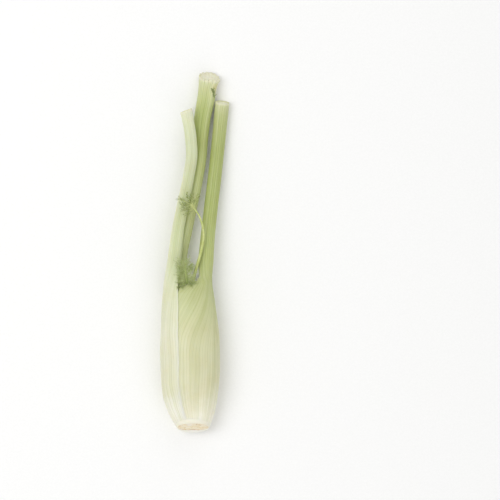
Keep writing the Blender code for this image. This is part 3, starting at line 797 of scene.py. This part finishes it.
basePlate = {
    "sides": 180,
    "scarProud": 0.0003,
    "scarShares": ((0.85, 0.96), (0.89, 0.90), (0.92, 0.82), (0.95, 0.74), (0.975, 0.68), (1.0, 0.62)),
    "rimAtSides": 0.32,  # the pale rim's width at the sides
    "rimBelow": 1.75,  # and how much wider it is at the bottom and the top
    "rimAbove": 0.70,
    "rimRows": (  # round the rim and up the side: Y above the cut, inset, lift, scar mark
        (-0.00022, 0.0026, 0.0005, 0.56), (-0.00008, 0.0023, 0.0004, 0.45), (0.0, 0.0019, 0.0003, 0.30),
        (0.00004, 0.0015, 0.0002, 0.2), (0.0001, 0.0011, 0.0, 0.1), (0.00025, 0.0008, 0.0, 0.0),
        (0.0005, 0.0005, 0.0, 0.0), (0.0008, 0.0003, 0.0, 0.0), (0.0013, 0.0001, 0.0, 0.0),
        (0.0018, 0.00008, 0.0, 0.0), (0.0021, 0.00025, 0.0, 0.0)),
    "scarInset": 0.0029,
    "scarLift": 0.0005,
    "thick": 0.0020,
    "overlap": 0.0012,  # how far the stem runs on inside the leaves
    "insideInset": 0.0010,
    "rough": 0.00012,
}


def stemRows(plate):  # share of radius, Y above the cut, inset, lift and scar mark, from middle to middle
    scar = (-plate["scarProud"], plate["scarInset"], plate["scarLift"])
    rows = [(share, *scar, 1.0) for share in np.linspace(0.0, 0.80, 15)]
    rows += [(share, *scar, mark) for share, mark in plate["scarShares"]]
    rows += [(1.0, *row) for row in plate["rimRows"]]
    inside = (plate["thick"] + plate["overlap"], plate["insideInset"], 0.0, 0.0)
    return rows + [(share, *inside) for share in (1.0, 0.5, 0.0)]


def cutStem(name, plate):
    degrees = np.linspace(-90.0, 270.0, plate["sides"] + 1)
    sine = np.sin(np.radians(degrees))
    low = np.clip(-sine, 0.0, 1.0) ** 1.4
    high = np.clip(sine, 0.0, 1.0) ** 3  # the scar's upper edge is nearly straight
    rim = plate["rimAtSides"] + plate["rimBelow"] * low + plate["rimAbove"] * high
    surface = waves(9, 9, (0.002, 0.008), (2, 9))
    points, scar = [], []
    for share, above, inset, lift, mark in stemRows(plate):
        y = np.full(degrees.shape, bulb["baseY"] + above)
        ring = bulbPoint(y, degrees, inset * (rim if mark > 0.0 else 1.0))
        centre = ring[:-1].mean(axis=0)
        ring = centre + (ring - centre) * share
        ring[:, 1] += lift
        rough = plate["rough"] * (waviness(surface, ring[:, 0] + 1.7 * ring[:, 1], degrees) + 1.0)
        rough = rough * (mark > 0.3) * min(1.0, share * 2)
        ring[-1] = ring[0]
        row = placed(ring, y, rough)
        row[-1] = row[0]
        points.append(row)
        scar.append(mark)
    lowerEdge = np.broadcast_to(0.15 + 0.75 * low, (len(scar), len(degrees)))
    return rolledSheet(name, np.array(points), {"scar": np.array(scar)[:, None], "lowerEdge": lowerEdge})


stemBase = cutStem("cutStemBase", basePlate)
finished(stemBase, "base_plate", "cut_stem", stemMaterial("driedKnifeCutStem"))


# the feathery young leaves

# Young fennel frond: soft matt threads of a pale greyish green, with a yellower stem on the long frond.
frondLook = {
    "shader": {"Subsurface Weight": 0.15, "Subsurface Radius": (0.6, 1.0, 0.3), "Subsurface Scale": 0.0006},
    "shadesPerMetre": 420.0,  # lighter and darker every 2.4 mm
    "skinPerMetre": 3500.0,  # the threads' rough skin, in steps of 0.3 mm
    "skinBump": 0.00003,
}


def frondMaterial(name, dark, light, roughness, look=frondLook):
    material, tree, shader = newMaterial(name, look["shader"])
    place = addNode(tree, "TexCoord").outputs["Object"]
    shade = addNode(tree, "TexNoise", inputs={
        "Vector": place, "Scale": look["shadesPerMetre"], "Detail": 4.0, "Roughness": 0.6})
    colour = addNode(tree, "ValToRGB", inputs={0: shade}, stops=[(0.32, dark), (0.68, light)])
    rough = addNode(tree, "MapRange", inputs={
        "Value": shade, "To Min": roughness - 0.08, "To Max": roughness + 0.12})
    skin = addNode(tree, "TexNoise", inputs={"Vector": place, "Scale": look["skinPerMetre"], "Detail": 2.0})
    bump = addNode(tree, "Bump", inputs={"Strength": 0.5, "Distance": look["skinBump"], "Height": skin})
    setInputs(tree, shader, {"Base Color": colour, "Roughness": rough, "Normal": bump})
    return material


frondSprays = (
    {"name": "crotchTuft", "node": "frond_crotch", "seed": 11,
     "stem": ((-0.0037, 0.0845, 0.0172), (-0.0036, 0.0892, 0.0201),
              (-0.0040, 0.0937, 0.0220), (-0.0047, 0.0995, 0.0224)),
     "stemRadius": 0.0006, "ribs": 56, "rooted": (0.44, 1.0), "turned": (146.0, 22.0),
     "ribLength": (0.0052, 0.0060), "rise": (0.02, 0.24), "threads": 9, "threadLength": 0.0019,
     "threadRadius": 0.000070, "drapesBelow": 0.0935,
     "dark": "#8f9f58", "light": "#c3ce90", "stemDark": "#93a35a", "stemLight": "#b0bd78"},
    {"name": "longFrond", "node": "frond_long", "seed": 6,
     "stem": ((-0.0016, 0.0830, 0.0158), (0.0012, 0.0960, 0.0172), (0.0046, 0.1080, 0.0172),
              (0.0064, 0.1190, 0.0168), (0.0045, 0.1285, 0.0170), (0.0010, 0.1345, 0.0182),
              (-0.0008, 0.1368, 0.0188)),
     "stemRadius": 0.0010, "ribs": 12, "rooted": (0.84, 1.0), "turned": (85.0, 12.0),
     "ribLength": (0.0066, 0.0076), "rise": (0.0, 0.12), "threads": 8, "threadLength": 0.0023,
     "threadRadius": 0.000095, "drapesBelow": 0.0,
     "dark": "#6d7b3a", "light": "#a5b069", "stemDark": "#b9c36e", "stemLight": "#d3d996"},
    {"name": "stubLeaflet", "node": "frond_stub", "seed": 3,
     "stem": ((0.0131, 0.2012, 0.0074), (0.0126, 0.2030, 0.0081),
              (0.0122, 0.2047, 0.0086), (0.0118, 0.2063, 0.0089)),
     "stemRadius": 0.00020, "ribs": 9, "rooted": (0.10, 0.95), "turned": (70.0, 30.0),
     "ribLength": (0.0016, 0.0012), "rise": (-0.05, 0.15), "threads": 5, "threadLength": 0.0009,
     "threadRadius": 0.000065, "drapesBelow": 0.0,
     "dark": "#5a6935", "light": "#919f5c", "stemDark": "#66753c", "stemLight": "#8f9d59"},
)
stemPoints = 25  # along each spray's stem
stemTipRadius = 0.00028


def alongPath(path, share):
    rows = [(k / (len(path) - 1), *point) for k, point in enumerate(path)]
    return Vector(rowAt(rows, np.array([share]))[0])


def addThread(curve, points, startRadius, endRadius):
    spline = curve.splines.new("POLY")
    spline.points.add(len(points) - 1)
    for k, point in enumerate(points):
        share = k / (len(points) - 1)
        spline.points[k].co = (*(point + Vector(bulbToFrame)), 1.0)
        spline.points[k].radius = between(startRadius, endRadius, share ** 1.3)


def threadCurve(name, material):
    curve = bpy.data.curves.new(name, "CURVE")
    curve.dimensions = "3D"
    curve.bevel_depth = 1.0
    curve.bevel_resolution = 1
    curve.use_fill_caps = True
    curve.materials.append(material)
    made = bpy.data.objects.new(name, curve)
    bpy.context.scene.collection.objects.link(made)
    return made


def draped(points, limit):  # threads that hang down over the bulb's mouth lie on the bulb, root first
    lying = []
    for k, point in enumerate(points):
        left, right, halfDepth, underside = rowAt(bulb["rows"], np.array([point.y]))[0]
        middle, halfWidth = (left + right) / 2 * bulb["width"], (right - left) / 2 * bulb["width"]
        roundness = max(0.0, 1.0 - ((point.x - middle) / halfWidth) ** 2) ** 0.5
        skin = underside + halfDepth * bulb["depth"] * (1.0 + roundness) + 0.00025
        share = 1.0 - smoothStep(limit - 0.003, limit + 0.004, point.y)
        share = share * min(1.0, 3.0 * k / (len(points) - 1))
        lying.append(Vector((point.x, point.y, between(point.z, max(point.z, skin), share))))
    return lying


def featheryFrond(spray):
    vary = random.Random(spray["seed"]).uniform
    front = Vector((0.0, 0.0, 1.0))
    stem, limit, radius = spray["stem"], spray["drapesBelow"], spray["threadRadius"]
    stemSkin = frondMaterial(spray["name"] + "StemSkin", spray["stemDark"], spray["stemLight"], 0.42)
    threadSkin = frondMaterial(spray["name"] + "ThreadSkin", spray["dark"], spray["light"], 0.55)
    stems = threadCurve(spray["name"], stemSkin)
    threads = threadCurve(spray["name"] + "Threads", threadSkin)
    stemPath = [alongPath(stem, k / (stemPoints - 1)) for k in range(stemPoints)]
    addThread(stems.data, stemPath, spray["stemRadius"], stemTipRadius)
    for k in range(spray["ribs"]):
        up = k / (spray["ribs"] - 1)
        share = between(*spray["rooted"], up)
        root = alongPath(stem, share)
        along = (alongPath(stem, min(1.0, share + 0.04)) - alongPath(stem, share - 0.04)).normalized()
        across = along.cross(front).normalized() * (1 if k % 2 else -1)
        turn = math.radians(between(*spray["turned"], up) * vary(0.55, 1.15))
        heading = along * math.cos(turn) + across * math.sin(turn) + front * vary(*spray["rise"])
        heading.normalize()
        length = between(*spray["ribLength"], up) * vary(0.65, 1.15)
        curl = (along * vary(-0.2, 0.6) - front * vary(0.05, 0.35)
                + across * vary(-0.4, 0.4)) * length * 0.4
        ribPath = [root + heading * length * t + curl * t * t for t in (0.0, 0.2, 0.4, 0.6, 0.8, 1.0)]
        addThread(stems.data, draped(ribPath, limit), radius * 1.7, radius)
        sideways = heading.cross(front).normalized()
        for n in range(spray["threads"]):
            t = between(0.18, 1.0, n / (spray["threads"] - 1))
            place = root + heading * length * t + curl * t * t
            aside = sideways * (1 if n % 2 else -1) * vary(0.3, 1.0) * (1.1 - 0.5 * t)
            aim = (heading + aside + front * vary(-0.15, 0.35)).normalized()
            reach = spray["threadLength"] * vary(0.45, 1.15)
            bend = (heading * vary(0.0, 0.35) + sideways * vary(-0.35, 0.35)
                    - front * vary(0.0, 0.25)) * reach
            thread = [place + aim * reach * s + bend * s * s for s in (0.0, 0.3, 0.6, 0.85, 1.0)]
            addThread(threads.data, draped(thread, limit), radius, radius * 0.5)
            for fork in (-1, 1):  # each thread forks once on both sides
                s = 0.40 + 0.18 * (fork > 0)
                start = place + aim * reach * s + bend * s * s
                away = (aim + aim.cross(front).normalized() * fork * vary(0.35, 0.8)
                        + front * vary(-0.1, 0.2)).normalized() * reach * vary(0.3, 0.6)
                forked = [start, start + away * 0.55 + bend * 0.1, start + away + bend * 0.25]
                addThread(threads.data, draped(forked, limit), radius * 0.9, radius * 0.5)
    deselectAll()
    for item in (stems, threads):
        item.select_set(True)
    bpy.context.view_layer.objects.active = stems
    bpy.ops.object.convert(target="MESH")
    bpy.ops.object.join()
    piece = bpy.context.object
    bpy.ops.object.shade_smooth()
    return piece


for spray in frondSprays:
    finished(featheryFrond(spray), spray["node"], "frond_green")


# the floor, the light and the camera

studio = {
    "boardTints": ("#f8f8f7", "#fbfbfa"),
    "cameraHeight": 2.4,
    "fieldWidth": 0.300,  # 500 px at 0.6 mm
    "fieldCentre": (0.03322, 0.00110),
    "fieldLevel": 0.013,  # the height at which the scale is exact
    "sensor": 36.0,
    "lights": (  # name, place, size and power
        ("keyLight", (-0.50, 0.10, 1.05), 0.9, 5.2),
        ("baseFill", (0.35, -0.85, 0.75), 1.1, 2.28),
        ("topFill", (0.25, 0.90, 0.70), 1.1, 1.9)),
    "world": {"Color": "#ffffff", "Strength": 0.58},
}


def studioFloor(name):
    deselectAll()
    bpy.ops.mesh.primitive_plane_add(size=6.0, location=(0.0, 0.0, -0.0002))
    floor = bpy.context.object
    floor.name = name
    bpy.ops.object.transform_apply(location=True, rotation=False, scale=False)
    # smooth matt board, with no grain to see
    material, tree, shader = newMaterial("mattWhiteStudioBoard", {"Roughness": 0.85})
    place = addNode(tree, "TexCoord").outputs["Object"]
    grain = addNode(tree, "TexNoise", inputs={"Vector": place, "Scale": 900.0, "Detail": 2.0})
    colour = addNode(tree, "ValToRGB", inputs={0: grain},
                     stops=list(zip((0.3, 0.7), studio["boardTints"])))
    setInputs(tree, shader, {"Base Color": colour})
    floor.data.materials.append(material)


def softLight(name, place, size, power, aim=(0.0, 0.0, 0.01)):
    deselectAll()
    bpy.ops.object.light_add(type="AREA", location=place)
    light = bpy.context.object
    light.name = name
    light.data.shape = "DISK"
    light.data.size = size
    light.data.energy = power
    light.rotation_euler = (Vector(aim) - Vector(place)).to_track_quat("-Z", "Y").to_euler()


studioFloor("studioFloor")
for light in studio["lights"]:
    softLight(*light)

scene = bpy.context.scene
world = bpy.data.worlds.new("paleStudio")
scene.world = world
world.use_nodes = True
setInputs(world.node_tree, world.node_tree.nodes["Background"], studio["world"])

deselectAll()
bpy.ops.object.camera_add(location=(*studio["fieldCentre"], studio["cameraHeight"]))
camera = bpy.context.object
camera.name = "photographCamera"
camera.data.sensor_width = studio["sensor"]
cameraToField = studio["cameraHeight"] - studio["fieldLevel"]
camera.data.lens = studio["sensor"] * cameraToField / studio["fieldWidth"]
camera.data.dof.use_dof = False
scene.camera = camera
scene.view_settings.view_transform = "Standard"
scene.view_settings.look = "None"
print("floor, lights and camera are in place")
